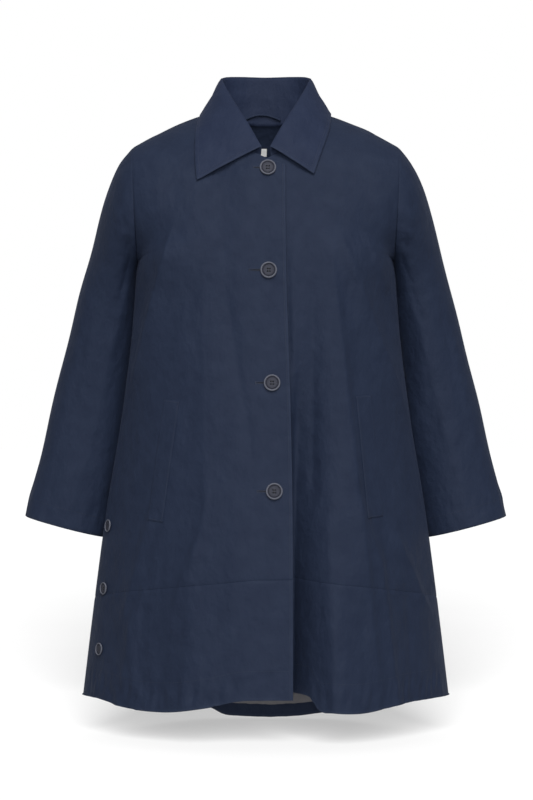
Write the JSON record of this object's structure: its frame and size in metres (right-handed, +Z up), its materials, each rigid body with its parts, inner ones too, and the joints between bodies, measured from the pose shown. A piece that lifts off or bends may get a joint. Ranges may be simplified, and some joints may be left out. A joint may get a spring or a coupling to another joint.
{
  "type": "overcoat",
  "caption": "Navy thigh-length swing overcoat with a turned-down collar, long sleeves and a buttoned front, hollow and filled out as if worn.",
  "frame": {"origin": "middle of the neck opening, level with the shoulders, where the wearer's neck holds the coat", "axes": "+Z up, front towards -Y, wearer's left towards +X"},
  "size_m": [0.726, 0.3887, 0.9916],
  "materials": {
    "navy_cloth": "smooth cotton with a slight sheen",
    "navy_collar": "smooth cotton, a little bluer",
    "dark_button": "satin",
    "pale_lining": "smooth lining cloth",
    "white_label": "plain woven tape"
  },
  "bodies": {
    "root": {"back_lower": "navy_cloth", "back_upper": "navy_cloth", "front_left_lower": "navy_cloth", "front_left_upper": "navy_cloth", "front_right_lower": "navy_cloth", "front_right_upper": "navy_cloth", "sleeve_left": "navy_cloth", "sleeve_right": "navy_cloth", "pocket_welt_left": "navy_cloth", "pocket_welt_right": "navy_cloth", "hanger_loop": "navy_cloth", "collar": "navy_collar", "front_button_1": "dark_button", "front_button_2": "dark_button", "front_button_3": "dark_button", "front_button_4": "dark_button", "side_button_1": "dark_button", "side_button_2": "dark_button", "side_button_3": "dark_button", "back_lining": "pale_lining", "neck_label": "white_label"}
  },
  "joints": []
}
